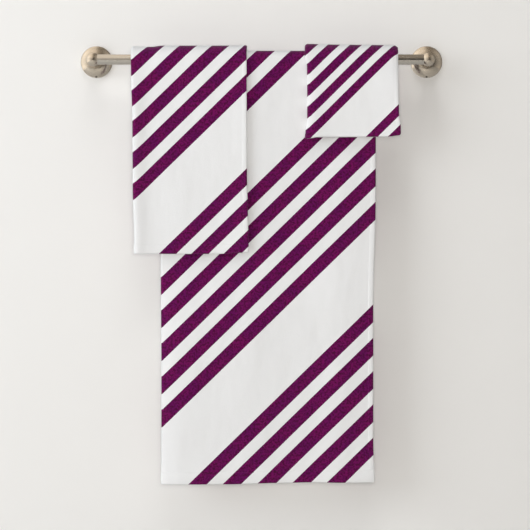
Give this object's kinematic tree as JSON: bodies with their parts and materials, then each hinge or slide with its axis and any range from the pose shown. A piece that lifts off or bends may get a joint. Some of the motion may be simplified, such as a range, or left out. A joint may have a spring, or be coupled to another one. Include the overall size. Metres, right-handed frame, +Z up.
{
  "type": "bath towel set on a wall rail",
  "caption": "Set of three striped terry towels, in bath, hand and wash sizes, folded lengthwise and draped side by side over a round wall-mounted towel bar with domed flanges.",
  "frame": {"origin": "on the wall face, midway between the two posts, at the height of the bar's axis", "axes": "+X along the bar to the right as seen from the room, +Y into the wall, +Z up"},
  "size_m": [0.6486, 0.1231, 0.7743],
  "materials": {
    "striped_terry": "white cotton terry with printed plum-purple diagonal stripes in groups of five",
    "brushed_nickel": "satin",
    "cast_zinc": "matte",
    "screw_steel": "satin",
    "nylon": "matte"
  },
  "bodies": {
    "rail": {"wall_bracket_left": "cast_zinc", "wall_bracket_right": "cast_zinc", "wall_screw_left_upper": "screw_steel", "wall_screw_left_lower": "screw_steel", "wall_screw_right_upper": "screw_steel", "wall_screw_right_lower": "screw_steel", "flange_left": "brushed_nickel", "flange_right": "brushed_nickel", "set_screw_left": "screw_steel", "set_screw_right": "screw_steel", "post_left": "brushed_nickel", "post_right": "brushed_nickel", "post_screw_left": "screw_steel", "post_screw_right": "screw_steel"},
    "bar": {"bar": "brushed_nickel", "bar_bush_left": "nylon", "bar_bush_right": "nylon"},
    "bath_towel": {"bath_towel_panel": "striped_terry", "bath_towel_side_hem": "striped_terry", "bath_towel_front_hem": "striped_terry", "bath_towel_back_hem": "striped_terry"},
    "hand_towel": {"hand_towel_panel": "striped_terry", "hand_towel_side_hem": "striped_terry", "hand_towel_front_hem": "striped_terry", "hand_towel_back_hem": "striped_terry"},
    "washcloth": {"washcloth_panel": "striped_terry", "washcloth_side_hem": "striped_terry", "washcloth_front_hem": "striped_terry", "washcloth_back_hem": "striped_terry"}
  },
  "joints": [
    {"name": "bar_swing", "type": "hinge", "parent": "rail", "child": "bar", "pos_m": [0, -0.065, 0], "axis": [-1, 0, 0], "range_deg": [-3, 20]},
    {"name": "bath_towel_slide", "type": "slide", "parent": "bar", "child": "bath_towel", "axis": [1, 0, 0], "range_m": [-0.1, 0.07]},
    {"name": "hand_towel_slide", "type": "slide", "parent": "bar", "child": "hand_towel", "axis": [1, 0, 0], "range_m": [-0.05, 0.048]},
    {"name": "washcloth_slide", "type": "slide", "parent": "bar", "child": "washcloth", "axis": [1, 0, 0], "range_m": [-0.048, 0.034]}
  ]
}
